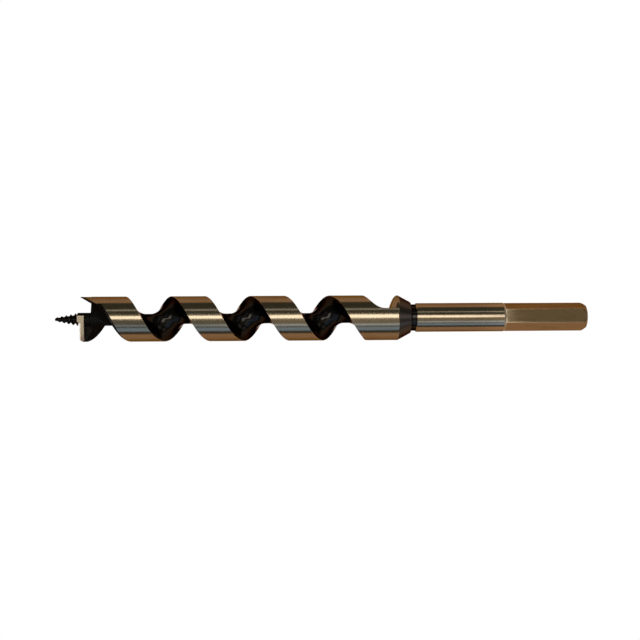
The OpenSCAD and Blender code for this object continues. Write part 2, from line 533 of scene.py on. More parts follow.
@dataclass(frozen=True)
class BlackOxide:
    """Black hardened steel with a thin film of oil. Grains are counted in one millimetre."""

    colour: Colour = (0.022, 0.020, 0.019)
    worn: Colour = (0.040, 0.031, 0.025)
    edge: Colour = (0.30, 0.20, 0.13)
    roughness: float = 0.12
    roughness_spread: float = 0.12
    grain_depth: float = 1.6e-5
    forged_grain: Point = (0.9, 0.9, 0.9)
    worn_grain: Point = (0.35, 0.35, 0.35)
    worn_range: Pair = (0.48, 0.78)
    oil_grain: Point = (0.5, 0.5, 0.5)

    def grain(self, graph: Graph) -> Value:
        """Fine unevenness left by forging, from 0 to 1."""
        return graph.noise(self.forged_grain, detail=4.0, roughness=0.55)

    def tone(self, graph: Graph) -> Value:
        """Colour of the oxide, browner where it has worn thin."""
        thin = graph.noise(self.worn_grain, detail=5.0, roughness=0.65).rise(*self.worn_range)
        return graph.mix(thin, self.colour, self.worn)

    def gloss(self, graph: Graph) -> Value:
        """Roughness with patches of oil."""
        return self.roughness + graph.noise(self.oil_grain, detail=3.0) * self.roughness_spread

    def material(self, name: str) -> bpy.types.Material:
        """Make the material.

        Args:
            name: Name of the material.

        Returns:
            The material.
        """
        material, graph = new_material(name)
        graph.steel(self.tone(graph), self.gloss(graph), self.grain(graph), self.grain_depth, self.edge)
        return material


@dataclass(frozen=True)
class GroundLip:
    """Bright hard steel with straight grinding lines. Grains are counted in one millimetre."""

    colour: Colour = (0.25, 0.20, 0.145)
    # Painted highlight: a paler colour on a narrow strip just behind the cutting edge.
    front: Colour = (0.50, 0.43, 0.33)
    # Painted shade: a darker, pinker colour on the ground face towards the outer end of the lip.
    lip_shade_colour: Colour = (0.17, 0.115, 0.095)
    roughness: float = 0.34
    roughness_spread: float = 0.12
    line_depth: float = 6e-6
    line_grain: Point = (0.4, 8.0, 0.4)
    highlight_width: float = 0.35
    highlight_fade: float = 0.2
    lip_shade_from: float = -6.0
    lip_shade_to: float = -9.0

    def lines(self, graph: Graph) -> Value:
        """Fine grinding lines along the axis, from 0 to 1."""
        return graph.noise(self.line_grain, detail=3.0, roughness=0.6)

    def material(self, name: str, edge_x: float) -> bpy.types.Material:
        """Make the material.

        Args:
            name: Name of the material.
            edge_x: Place of the cutting edge.

        Returns:
            The material.
        """
        material, graph = new_material(name)
        x, y, _ = graph.sides(graph.place)
        lines = self.lines(graph)
        # Painted shade, laid on towards the outer end of the lip.
        painted_lip_shade = y.fall(self.lip_shade_to, self.lip_shade_from)
        tone = graph.mix(painted_lip_shade, self.colour, self.lip_shade_colour)
        # Painted highlight along the cutting edge.
        highlight_end = edge_x + self.highlight_width
        painted_lip_highlight = x.fall(highlight_end, highlight_end + self.highlight_fade)
        tone = graph.mix(painted_lip_highlight, tone, self.front)
        graph.steel(tone, self.roughness + lines * self.roughness_spread, lines, self.line_depth)
        return material


@dataclass
class Twist:
    """Twisted body with its land, flute, core, hub, spur, cone and neck."""

    hub_x: float
    land_r: float
    ground: GroundSteel = GroundSteel()
    black: BlackOxide = BlackOxide()
    lip: GroundLip = GroundLip()
    twist_length: float = 141.1
    cone_length: float = 5.7
    cone_end_r: float = 6.9
    cone_round: float = 0.25
    neck_length: float = 2.3
    neck_bevel: float = 0.4
    neck_r: float = 5.9
    bevel_round: float = 0.3
    neck_round: float = 0.15
    pitch: float = 34.9
    land_width: float = 14.7
    core_r: float = 2.25
    flute_power: float = 2.8
    first_land: float = 13.45
    turn_end_length: float = 11.0
    turn_end_advance: float = 6.85
    turn_stop: float = 5.2
    turn_power: float = 2.5
    runout_length: float = 4.3
    edge_round: float = 0.28
    edge_angle: float = 0.8
    hub_r: float = 2.9
    hub_bevel: float = 0.15
    hub_foot: float = 0.5
    foot_length: float = 3.0
    hub_straight: float = 15.0
    hub_length: float = 21.0
    core_sink: float = 0.02
    notch_from: float = 1.1
    notch_round: float = 1.0
    head_step: float = 6.0
    rim_inset: float = 0.1
    lip_set_back: float = 1.2
    lip_width: float = 1.8
    lip_face: float = 2.4
    lip_depth: float = 3.4
    lip_relief: float = 10.0
    braze_gap: float = 0.03
    spur_set_back: float = 1.1
    spur_thickness: float = 3.0
    spur_from: float = -8.0
    spur_to: float = 47.0
    spur_slope: float = 31.0
    spur_lean: float = 9.0
    spur_edge: float = 0.08
    rings_per_turn: int = 88
    land_columns: int = 33
    edge_columns: int = 6
    flute_columns: int = 34
    flute_crowding: float = 1.8
    spur_rings: int = 37
    cone_colour: Colour = (0.085, 0.075, 0.072)
    cone_roughness: float = 0.1
    # Head of the twist: a rougher matte black finish, and a darker colour that is painted shade in the
    # hollow behind the lip.
    shaded_matte_colour: Colour = (0.014, 0.013, 0.011)
    matte_roughness: float = 0.45
    matte_from: float = 13.0
    matte_to: float = 20.0
    # Width of the painted shade behind the leading edge of the first land.
    shade_strip_width: float = 1.3
    margin_end: float = 24.0
    margin_fade: float = 0.12
    margin_lap: Pair = (-2.0, 1.0)
    # Width of the painted shade along the crest of the spur.
    shaded_crest_width: float = 0.45
    crest_end: float = 10.0
    land_skin: float = 0.2
    end_fade: float = 0.25
    end_slant: float = 0.04
    end_waver: float = 0.5
    waver: float = 0.12
    waver_grain: Point = (0.6, 0.6, 0.6)
    tail_range: Pair = (0.3, 0.9)
    flat_skin: Pair = (0.05, 0.02)
    fade: float = 0.1
    fade_length: float = 1.0

    @property
    def half_land(self) -> float:
        """Half of the land's width, as an angle in degrees."""
        return 180 * self.land_width / self.pitch

    @property
    def runout_start(self) -> float:
        """Place from which the flute lifts out."""
        return self.twist_length - self.runout_length

    @property
    def cone_end(self) -> float:
        """Place of the back of the cone."""
        return self.twist_length + self.cone_length

    @property
    def neck_end(self) -> float:
        """Place of the back of the neck."""
        return self.cone_end + self.neck_length

    @property
    def lip_back(self) -> float:
        """Place of the back of the lip's ground face."""
        return self.lip_set_back + self.lip_width

    @property
    def land_start(self) -> float:
        """Place of the leading edge of the first land, at angle 0."""
        return self.first_land - self.land_width / 2

    @property
    def turn_end_start(self) -> float:
        """Place from which the twist turns more and more slowly."""
        return self.twist_length - self.turn_stop - self.turn_end_length

    def land_angle(self, s: float) -> float:
        """Middle of the land.

        Args:
            s: Place along the bit.

        Returns:
            The angle in degrees.
        """
        left = 1 - min(max((s - self.turn_end_start) / self.turn_end_length, 0.0), 1.0)
        advance = min(s, self.turn_end_start) + self.turn_end_advance * (1 - left**self.turn_power)
        return 360 * (advance - self.first_land) / self.pitch

    def outside_r(self, s: float) -> float:
        """Outside radius: the land, then the cone, then the bevel and the neck.

        Args:
            s: Place along the bit.

        Returns:
            The radius.
        """
        cone = self.land_r - (self.land_r - self.cone_end_r) * (s - self.twist_length) / self.cone_length
        bevel = self.cone_end_r - (self.cone_end_r - self.neck_r) * (s - self.cone_end) / self.neck_bevel
        rounded = blended(np.float64(self.land_r), np.float64(cone), self.cone_round)
        rounded = blended(rounded, np.float64(bevel), self.bevel_round)
        return -float(blended(-rounded, np.float64(-self.neck_r), self.neck_round))

    def flute_depth(self, s: float) -> float:
        """Depth of the flute at s, which lifts out in a curve along its run-out."""
        left = min(max((self.twist_length - s) / self.runout_length, 0.0), 1.0)
        return (self.land_r - self.core_r) * left**2

    def section(self) -> np.ndarray:
        """Section of the twist across the axis.

        Returns:
            Pairs of angle from the middle of the land, in degrees, and share of the flute's depth.
        """
        half_flute = 180 - self.half_land
        round_angle = math.degrees(self.edge_round / self.land_r)
        round_share = self.edge_round / (self.land_r - self.core_r)
        flat_end = self.half_land - round_angle
        land_end = flat_end - self.edge_angle
        side: list[Pair] = [(land_end, 0.0)]
        for turn in quarter_turn(self.edge_columns):
            side.append((flat_end + round_angle * math.sin(turn), round_share * (1 - math.cos(turn))))
        start = 1 - (1 - round_share**2) ** (1 / self.flute_power)
        steps = np.linspace(0, 1, self.flute_columns)[1:-1] ** self.flute_crowding
        for share in start + (1 - start) * steps:
            depth = math.sqrt(1 - (1 - share) ** self.flute_power)
            side.append((self.half_land + half_flute * share, depth))
        land = [(angle, 0.0) for angle in np.linspace(-land_end, land_end, self.land_columns)[1:-1]]
        other = [(360 - angle, share) for angle, share in reversed(side)]
        return np.array(land + side + [(180.0, 1.0)] + other)

    def ring_places(self) -> np.ndarray:
        """Places of the rings, close together where the outside bends.

        Returns:
            The places.
        """
        end = self.turn_end_start
        count = round(end / self.pitch * self.rings_per_turn)
        cone_bend = 0.6
        front_bend = 0.4
        rear_bend = 0.8
        ends = [
            0.0,
            end,
            self.runout_start,
            self.twist_length - cone_bend,
            self.twist_length + cone_bend,
            self.cone_end - front_bend,
            self.cone_end + rear_bend,
            self.neck_end,
        ]
        return spread(ends, [count, 36, 48, 12, 12, 18, 3])

    def bar(self) -> SolidMesh:
        """Twisted bar before its head is cut.

        Returns:
            The mesh.
        """
        section = self.section()
        rings = []
        for s in self.ring_places():
            radii = self.outside_r(s) - self.flute_depth(s) * section[:, 1]
            angles = np.radians(self.land_angle(s) + section[:, 0])
            rings.append(polar_ring(self.hub_x + s, radii, angles))
        return SolidMesh.skin("auger_twist", np.array(rings), on_axis=True)

    def clearance(self) -> SolidMesh:
        """Space in front of the plane that falls away behind the cutting edge.

        Returns:
            The mesh.
        """
        reach = self.land_r + OVERRUN
        edge = Vector((self.hub_x + self.lip_set_back, 0, self.lip_face))
        move = Matrix.Translation(edge) @ Matrix.Rotation(math.radians(-self.lip_relief), 4, "Y")
        low = (-2 * reach, -reach, -2 * reach)
        return SolidMesh.block("clearance", low, (0, OVERRUN, 2 * reach), move)

    def cut_head(self, bar: SolidMesh) -> None:
        """Cut the side of the spur, the chip mouth and the clearance behind the lip.

        Args:
            bar: Bar that is cut.
        """
        reach = self.land_r + OVERRUN
        front = self.hub_x - OVERRUN
        square = self.hub_x + self.head_step
        seat = self.lip_face - self.lip_depth - self.braze_gap
        side = SolidMesh.block("spur_side", (front, 0, -reach), (square, reach, reach))
        bar.carve(side, Carving.CUT)
        mouth = SolidMesh.block("chip_mouth", (front, -reach, seat), (square, OVERRUN, 2 * reach))
        bar.carve(mouth, Carving.CUT)
        bar.carve(self.clearance(), Carving.CUT)

    def spur(self) -> SolidMesh:
        """Scoring tooth at the rim, with one leaning plane as its crest and inner side.

        Returns:
            The mesh.
        """
        outer = self.land_r - self.rim_inset
        inner = self.land_r - self.spur_thickness
        front = self.spur_set_back
        root = self.land_start + self.pitch * self.spur_to / 360 + OVERRUN
        places = self.hub_x + np.array([front, root, root, front])
        radii = np.array([outer, outer, inner, inner])
        rings = []
        for angle in np.radians(np.linspace(self.spur_from, self.spur_to, self.spur_rings)):
            rings.append(np.column_stack([places, radii * math.cos(angle), radii * math.sin(angle)]))
        tooth = SolidMesh.skin("spur", np.array(rings))
        reach = 2 * self.land_r
        move = Matrix.Translation((self.hub_x + front, outer, 0.0))
        move = move @ Matrix.Rotation(math.radians(-self.spur_slope), 4, "Z")
        move = move @ Matrix.Rotation(math.radians(-self.spur_lean), 4, "X")
        slope = SolidMesh.block("slope", (-reach, -reach, -reach), (reach, 0, reach), move)
        tooth.carve(slope, Carving.CUT)
        tooth.soften(self.spur_edge, 2)
        return tooth

    def notch(self) -> SolidMesh:
        """Hollow at the front of the hub, which leads round to the cutting edge.

        Returns:
            The mesh.
        """
        front = self.hub_x - OVERRUN
        edge = self.hub_x + self.lip_set_back
        outline = [(front, -self.land_r), (front, -self.notch_from)]
        for turn in reversed(quarter_turn()):
            along = edge - self.notch_round * (1 - math.cos(turn))
            outline.append((along, -self.notch_from - self.notch_round * (1 - math.sin(turn))))
        outline.append((edge, -self.land_r))
        return SolidMesh.prism("notch", outline, -self.land_r, self.land_r)

    def hub(self) -> SolidMesh:
        """Hub with its swelling foot, and with the flat that is ground level with the lip.

        Returns:
            The mesh.
        """
        profile = [(0.0, self.hub_r - self.hub_bevel), (self.hub_bevel, self.hub_r)]
        for turn in quarter_turn():
            along = self.head_step - self.hub_foot * (1 - math.sin(turn))
            profile.append((along, self.hub_r + self.hub_foot * (1 - math.cos(turn))))
        shares = np.linspace(0, 1, ARC_POINTS)
        for share in shares[1:]:
            along = self.head_step + self.foot_length * share
            profile.append((along, self.hub_r + self.hub_foot * ease(share)))
        sunk_r = self.core_r - self.core_sink
        for share in shares:
            along = self.hub_straight + (self.hub_length - self.hub_straight) * share
            profile.append((along, sunk_r + (self.hub_r - sunk_r) * ease(share)))
        hub = SolidMesh.turned("hub", [(self.hub_x + s, radius) for s, radius in profile])
        side = self.hub_r + OVERRUN
        low = (self.hub_x - OVERRUN, -side, self.lip_face)
        high = (self.hub_x + self.lip_back, side, self.lip_face + side)
        hub.carve(SolidMesh.block("flat", low, high), Carving.CUT)
        hub.carve(self.notch(), Carving.CUT)
        return hub

    def crest(self, s: Value, y: Value, z: Value) -> Value:
        """Painted shade: a dark edge along the crest of the spur.

        Args:
            s, y, z: Place along the bit, and the two distances from its axis.

        Returns:
            1 in the edge, and 0 elsewhere.
        """
        slope = math.radians(self.spur_slope)
        lean = math.radians(self.spur_lean)
        forward = (s - self.spur_set_back) * (math.sin(slope) * math.cos(lean))
        outward = (y - self.land_r + self.rim_inset) * (math.cos(slope) * math.cos(lean))
        depth = forward + outward - z * math.sin(lean)
        edge = depth.fall(self.shaded_crest_width - self.fade, self.shaded_crest_width + self.fade)
        return edge * s.fall(self.crest_end, self.crest_end + self.fade_length)

    def painted_shade_behind_edge(self, s: Value, y: Value, z: Value) -> Value:
        """Painted shade: a dark strip behind the leading edge of the first land, in place of the shade on
        the relief ground there.

        Args:
            s, y, z: Place along the bit, and the two distances from its axis.

        Returns:
            1 in the painted shade, and 0 elsewhere.
        """
        turns = z.angle_from(y) * (1 / (2 * math.pi))
        behind = s - turns * self.pitch - self.land_start
        width = z * z * (self.shade_strip_width / self.land_r**2)
        near = s.fall(self.margin_end - self.fade_length, self.margin_end)
        past_spur = turns.rise(*((self.spur_to + lap) / 360 for lap in self.margin_lap))
        return (behind - width).fall(-self.margin_fade, self.margin_fade) * near * past_spur

    def land(self, graph: Graph, s: Value, y: Value, z: Value) -> Value:
        """Ground outside of the twist, without the painted shade behind its leading edge and along the
        crest of the spur.

        Args:
            graph: Node tree of the material.
            s, y, z: Place along the bit, and the two distances from its axis.

        Returns:
            1 on the land, and 0 elsewhere.
        """
        radius = (y * y + z * z) ** 0.5
        waver = graph.noise(self.waver_grain, detail=3.0) - 0.5
        skin = self.land_r - self.land_skin
        outside = (radius + waver * self.waver).rise(skin - self.fade, skin)
        along = s - y * self.end_slant + waver * self.end_waver
        ahead = along.fall(self.twist_length - self.fade, self.twist_length + self.end_fade)
        return outside * ahead * (1 - self.painted_shade_behind_edge(s, y, z)) * (1 - self.crest(s, y, z))

    def hub_flat(self, s: Value, y: Value, z: Value) -> Value:
        """Ground flat of the hub.

        Args:
            s, y, z: Place along the bit, and the two distances from its axis.

        Returns:
            1 on the flat, and 0 elsewhere.
        """
        deep, shallow = self.flat_skin
        level = z.rise(self.lip_face - deep, self.lip_face - shallow)
        front = s.fall(self.lip_back, self.lip_back + deep)
        return level * front * abs(y).fall(self.hub_r, self.hub_r + self.fade)

    def tail(self, s: Value) -> Value:
        """Ground wall at the end of the flute: 1 on it, and 0 elsewhere."""
        start = s.rise(*(self.runout_start + place for place in self.tail_range))
        return start * s.fall(self.twist_length - self.fade / 2, self.twist_length + self.fade)

    def cone(self, s: Value) -> Value:
        """Cone behind the land: 1 on it, and 0 elsewhere."""
        start = s.rise(self.twist_length - self.fade, self.twist_length)
        return start * s.fall(self.cone_end, self.cone_end + 2 * self.fade)

    def material(self) -> bpy.types.Material:
        """Bright ground land, flute end and hub flat on a black body with a dark grey cone.

        Returns:
            The material.
        """
        ground = self.ground
        black = self.black
        material, graph = new_material("twist_land_and_flute")
        x, y, z = graph.sides(graph.place)
        s = x - self.hub_x
        flat = self.hub_flat(s, y, z)
        bright = self.land(graph, s, y, z).most(flat).most(self.tail(s))
        cone = self.cone(s)
        # Painted shade on the head, together with its rougher matte finish.
        head = s.fall(self.matte_from, self.matte_to)
        oxide = graph.mix(cone, black.tone(graph), self.cone_colour)
        oxide = graph.mix(head, oxide, self.shaded_matte_colour)
        dull = black.gloss(graph) + cone * self.cone_roughness + head * self.matte_roughness
        lines = ground.lines(graph)
        steel = graph.mix(flat, ground.tone(graph), self.lip.colour)
        gloss = ground.gloss(graph, lines) * (1 - flat) + flat * self.lip.roughness
        relief = lines * (ground.line_depth / black.grain_depth) * bright
        relief = relief + black.grain(graph) * (1 - bright)
        tone = graph.mix(bright, oxide, steel)
        roughness = gloss * bright + dull * (1 - bright)
        graph.steel(tone, roughness, relief, black.grain_depth, ground.edge)
        return material

    def build(self) -> None:
        """Make the twist and hand it over."""
        body = self.bar()
        self.cut_head(body)
        body.carve(self.hub(), Carving.JOIN)
        body.carve(self.spur(), Carving.JOIN)
        body.hand_over("twist", Slot.TWIST, self.material())


@dataclass
class CuttingLip:
    """Bright hard lip, ground flat on its face."""

    twist: Twist
    root: float = 1.5
    corner: float = 1.2
    edge_round: float = 0.09
    seat_columns: int = 128

    def outline(self) -> list[Pair]:
        """Outline of the lip seen on its ground face, with the outer front corner rounded.

        Returns:
            Pairs of X and Y.
        """
        front = self.twist.hub_x + self.twist.lip_set_back
        back = self.twist.hub_x + self.twist.lip_back
        rim = -math.sqrt((self.twist.land_r - self.twist.rim_inset) ** 2 - self.twist.lip_face**2)
        outline = [(back, -self.root), (front, -self.root)]
        for turn in quarter_turn():
            along = front + self.corner * (1 - math.cos(turn))
            outline.append((along, rim + self.corner * (1 - math.sin(turn))))
        outline.append((back, rim))
        return outline

    def build(self) -> None:
        """Make the lip and hand it over."""
        twist = self.twist
        foot = twist.lip_face - twist.lip_depth
        body = SolidMesh.prism("auger_lip", self.outline(), foot, twist.lip_face)
        hub_r = twist.hub_r + twist.braze_gap
        front = twist.hub_x - OVERRUN
        back = twist.hub_x + twist.head_step
        seat = SolidMesh.turned("hub_seat", [(front, hub_r), (back, hub_r)], self.seat_columns)
        body.carve(seat, Carving.CUT)
        body.carve(twist.clearance(), Carving.CUT)
        body.soften(self.edge_round)
        material = twist.lip.material("lip_ground_face", twist.hub_x + twist.lip_set_back)
        body.hand_over("cutting_lip", Slot.LIP, material)


@dataclass
class FeedScrew:
    """Tapered wood thread at the point of the bit."""

    hub_x: float
    finish: BlackOxide = BlackOxide()
    length: float = 10.0
    base_d: float = 5.7
    point_d: float = 1.1
    pitch: float = 2.0
    thread_depth: float = 0.8
    thread_foot: float = 1.25
    crest: float = 0.2
    point_round: float = 0.4
    point_share: float = 0.1
    columns: int = 64
    rings: int = 240

    def radius(self, z: float, turns: np.ndarray) -> np.ndarray:
        """Radius of the thread.

        Args:
            z: Height above the hub, towards the point.
            turns: Turns of the thread at each point of the ring.

        Returns:
            The radius at each point.
        """
        share = max(0.0, 1 - z / self.length)
        point = self.point_d / 2
        root = point + (self.base_d / 2 - self.thread_depth - point) * share
        phase = np.abs(2 * (turns - np.floor(turns)) - 1) * self.pitch / self.thread_foot
        rise = np.clip((1 - phase) / (1 - self.crest), 0.0, 1.0)
        return root + self.thread_depth * math.sqrt(share) * rise

    def build(self) -> None:
        """Make the screw and hand it over."""
        turn = np.linspace(0, 1, self.columns, endpoint=False)
        rings = []
        for z in np.linspace(self.length, 0, self.rings):
            past = max(0.0, z - self.length + self.point_round) / self.point_round
            rounding = max(math.sqrt(1 - past**2), self.point_share)
            radii = self.radius(z, z / self.pitch + turn) * rounding
            rings.append(polar_ring(self.hub_x - z, radii, 2 * math.pi * turn))
        body = SolidMesh.skin("auger_feed_screw", np.array(rings), on_axis=True)
        body.hand_over("feed_screw", Slot.SCREW, self.finish.material("feed_screw_black"))


@dataclass
class Shank:
    """Round shank with its shoulder and the hexagonal drive end."""

    front_x: float
    round_r: float
    ground: GroundSteel = GroundSteel()
    drawn: DrawnSteel = DrawnSteel()
    round_length: float = 40.2
    hex_length: float = 36.1
    hex_flats: float = 11.0
    hex_turn: float = 84.0
    corner_round: float = 0.35
    round_bevel: float = 0.3
    shoulder_length: float = 1.2
    shoulder_sink: float = 0.3
    shoulder_run: float = 0.1
    shoulder_blend: float = 0.08
    hex_round_length: float = 2.2
    hex_end_r: float = 5.0
    end_lead: float = 0.2
    end_blend: float = 0.12
    rim_round: float = 0.25
    rim_points: int = 6
    flat_columns: int = 15
    corner_columns: int = 9
    ring_counts: tuple[int, ...] = (4, 40, 40, 36, 29)
    drive_lead: float = 0.5
    drive_lag: float = 0.2
    corner_r: float = 6.22
    corner_fade: float = 0.12
    corner_colour: Colour = (0.41, 0.295, 0.18)
    corner_roughness: float = 0.08
    # Painted highlight on the shoulder: a pale colour on a narrow ring, which also gets a rougher finish.
    line_from: float = 1.3
    line_to: float = 0.3
    line_fade: float = 0.2
    shoulder_highlight_colour: Colour = (0.62, 0.53, 0.42)
    line_roughness: float = 0.35
    # Painted light: the round part turns paler over this length before the shoulder.
    painted_light_length: float = 15.0
    painted_light_colour: Colour = (0.38, 0.30, 0.21)

    @property
    def shoulder(self) -> float:
        """Place at which the shoulder starts, behind the front of the shank."""
        return self.round_length - self.shoulder_length

    @property
    def full_length(self) -> float:
        """Length of the round part and the hexagon."""
        return self.round_length + self.hex_length

    @property
    def end_start(self) -> float:
        """Place from which the corners of the hexagon are rounded off towards the end."""
        return self.full_length - self.hex_round_length - self.end_lead

    @property
    def flat_half(self) -> float:
        """Angle in radians from the middle of a flat to the rounding of a corner."""
        half = self.hex_flats / 2
        return math.atan((half - self.corner_round) * math.tan(HALF_SIDE) / half)

    def angles(self) -> np.ndarray:
        """Angles of the columns, close together at the corners of the hexagon.

        Returns:
            The angles in degrees.
        """
        flat_half = math.degrees(self.flat_half)
        columns: list[float] = []
        for side in range(HEX_SIDES):
            middle = self.hex_turn + SIDE_ANGLE * side
            corner_start = middle + flat_half
            corner_end = middle + SIDE_ANGLE - flat_half
            columns.extend(np.linspace(middle - flat_half, corner_start, self.flat_columns))
            columns.extend(np.linspace(corner_start, corner_end, self.corner_columns)[1:-1])
        return np.array(columns)

    def hex_radius(self, angles: np.ndarray) -> np.ndarray:
        """Radius of the hexagon with rounded corners.

        Args:
            angles: Angles in degrees.

        Returns:
            The radius at each angle.
        """
        half = self.hex_flats / 2
        from_flat = np.radians((angles - self.hex_turn + SIDE_ANGLE / 2) % SIDE_ANGLE - SIDE_ANGLE / 2)
        flat = half / np.cos(from_flat)
        corner = (half - self.corner_round) / math.cos(HALF_SIDE)
        from_corner = HALF_SIDE - np.abs(from_flat)
        inside = np.maximum(0.0, self.corner_round**2 - (corner * np.sin(from_corner)) ** 2)
        rounded = corner * np.cos(from_corner) + np.sqrt(inside)
        return np.where(np.abs(from_flat) > self.flat_half, rounded, flat)

    @staticmethod
    def ball(u: float, wide: float, narrow: float, start: float, length: float) -> float:
        """Radius of a sphere that runs from one radius to a smaller one.

        Args:
            u: Place behind the front of the shank.
            wide: Radius at the start.
            narrow: Radius at the end.
            start: Place of the start.
            length: Distance from the start to the end.

        Returns:
            The radius.
        """
        reach = (wide**2 + length**2 - narrow**2) / (2 * length)
        squared = narrow**2 + reach**2 - (u - start - length + reach) ** 2
        return math.sqrt(max(squared, 0.0))

    def radius(self, u: float, hexagon: np.ndarray) -> np.ndarray:
        """Outside of the shank.

        Args:
            u: Place behind the front of the shank.
            hexagon: Radius of the hexagon at each column.

        Returns:
            The radius at each column.
        """
        half = self.hex_flats / 2
        round_r = min(self.round_r, self.round_r - self.round_bevel + u)
        if u > self.shoulder:
            narrow = half - self.shoulder_sink
            round_r = self.ball(u, self.round_r, narrow, self.shoulder, self.shoulder_length)
        if u < self.shoulder:
            return np.full(len(hexagon), round_r)
        drive = hexagon
        if u > self.end_start:
            corner = half / math.cos(HALF_SIDE)
            ball_start = self.full_length - self.hex_round_length
            end_r = self.ball(u, corner, self.hex_end_r, ball_start, self.hex_round_length)
            drive = blended(hexagon, np.full(len(hexagon), end_r), self.end_blend)
        return -blended(-drive, np.full(len(hexagon), -round_r), self.shoulder_blend)

    def material(self) -> bpy.types.Material:
        """Ground round part with painted light that makes it paler towards its end, a painted highlight on
        the shoulder, and drawn flats.

        Returns:
            The material.
        """
        ground = self.ground
        drawn = self.drawn
        material, graph = new_material("shank_ground")
        x, y, z = graph.sides(graph.place)
        radius = (y * y + z * z) ** 0.5
        back = self.front_x + self.round_length
        drive = x.rise(back - self.drive_lead, back + self.drive_lag)
        corner = radius.rise(self.corner_r - self.corner_fade, self.corner_r) * drive
        line_start = back - self.line_from
        line_end = back - self.line_to
        # Painted highlight on the shoulder, with a rougher finish there.
        painted_shoulder_highlight = x.rise(line_start, line_start + self.line_fade)
        painted_shoulder_highlight = painted_shoulder_highlight * x.fall(line_end, line_end + self.line_fade)
        # Painted light that brightens the round part towards the shoulder.
        painted_shank_light = x.rise(back - self.painted_light_length, line_start)
        lines = ground.lines(graph) * (1 - drive) + drawn.lines(graph) * drive
        gloss = ground.gloss(graph, lines) * (1 - drive) + drawn.gloss(graph, lines) * drive
        tone = graph.mix(painted_shank_light, ground.tone(graph), self.painted_light_colour)
        tone = graph.mix(drive, tone, drawn.tone(graph))
        tone = graph.mix(corner, tone, self.corner_colour)
        tone = graph.mix(painted_shoulder_highlight, tone, self.shoulder_highlight_colour)
        roughness = gloss + corner * self.corner_roughness + painted_shoulder_highlight * self.line_roughness
        graph.steel(tone, roughness, lines, ground.line_depth, ground.edge)
        return material

    def build(self) -> None:
        """Make the shank and hand it over."""
        rim_start = self.full_length - self.rim_round
        shoulder_end = self.round_length + self.shoulder_run
        ends = [0.0, self.round_bevel, self.shoulder, shoulder_end, self.end_start, rim_start]
        columns = self.angles()
        hexagon = self.hex_radius(columns)
        turned = np.radians(columns)
        rings = []
        for u in spread(ends, self.ring_counts):
            rings.append(polar_ring(self.front_x + u, self.radius(u, hexagon), turned))
        rim = self.radius(rim_start, hexagon)
        back = self.front_x + self.full_length
        for turn in quarter_turn(self.rim_points)[1:]:
            radii = rim - self.rim_round * (1 - math.cos(turn))
            rings.append(polar_ring(back - self.rim_round * (1 - math.sin(turn)), radii, turned))
        for share in (0.75, 0.5, 0.25):
            rings.append(polar_ring(back, (rim - self.rim_round) * share, turned))
        body = SolidMesh.skin("auger_shank", np.array(rings), on_axis=True)
        body.hand_over("shank", Slot.SHANK, self.material())


@dataclass(frozen=True)
class SoftPanel:
    """Flat soft lamp."""

    name: str
    middle: Point
    size: Pair
    radiance: Colour
    aim: Point
    across: Point = ALONG_X

    def build(self) -> None:
        """Hang the lamp."""
        brightest = max(self.radiance)
        data = bpy.data.lights.new(self.name, "AREA")
        data.shape = "RECTANGLE"
        data.size, data.size_y = self.size
        data.color = [part / brightest for part in self.radiance]
        data.energy = math.pi * self.size[0] * self.size[1] * brightest
        lamp = bpy.data.objects.new(self.name, data)
        away = (Vector(self.middle) - Vector(self.aim)).normalized()
        across = Vector(self.across)
        across = (across - away * across.dot(away)).normalized()
        along = away.cross(across).normalized()
        turn = Matrix((across, along, away)).transposed()
        lamp.matrix_world = Matrix.Translation(self.middle) @ turn.to_4x4()
        bpy.context.scene.collection.objects.link(lamp)


@dataclass(frozen=True)
class Strip:
    """Lamp along the bit, between two angles in degrees from straight above the bit towards +Y."""

    name: str
    angles: Pair
    reach: Pair
    radiance: Colour

    @property
    def middle(self) -> float:
        """Middle of the lamp along X."""
        return (self.reach[0] + self.reach[1]) / 2

    @property
    def length(self) -> float:
        """Length of the lamp along X."""
        return self.reach[1] - self.reach[0]

    def overhead(self, height: float) -> SoftPanel:
        """Level lamp above the bit.

        Args:
            height: Height above the bit.

        Returns:
            The lamp.
        """
        low, high = (height * math.tan(math.radians(angle)) for angle in self.angles)
        aim = (self.middle, (low + high) / 2, 0.0)
        place = (aim[0], aim[1], height)
        return SoftPanel(self.name, place, (self.length, high - low), self.radiance, aim)

    def facing(self, away: float) -> SoftPanel:
        """Lamp that faces the bit from one side.

        Args:
            away: Distance from the bit.

        Returns:
            The lamp.
        """
        start, end = (math.radians(angle) for angle in self.angles)
        tilt = (start + end) / 2
        width = 2 * away * math.tan(abs(end - start) / 2)
        place = (self.middle, away * math.sin(tilt), away * math.cos(tilt))
        return SoftPanel(self.name, place, (self.length, width), self.radiance, (self.middle, 0.0, 0.0))


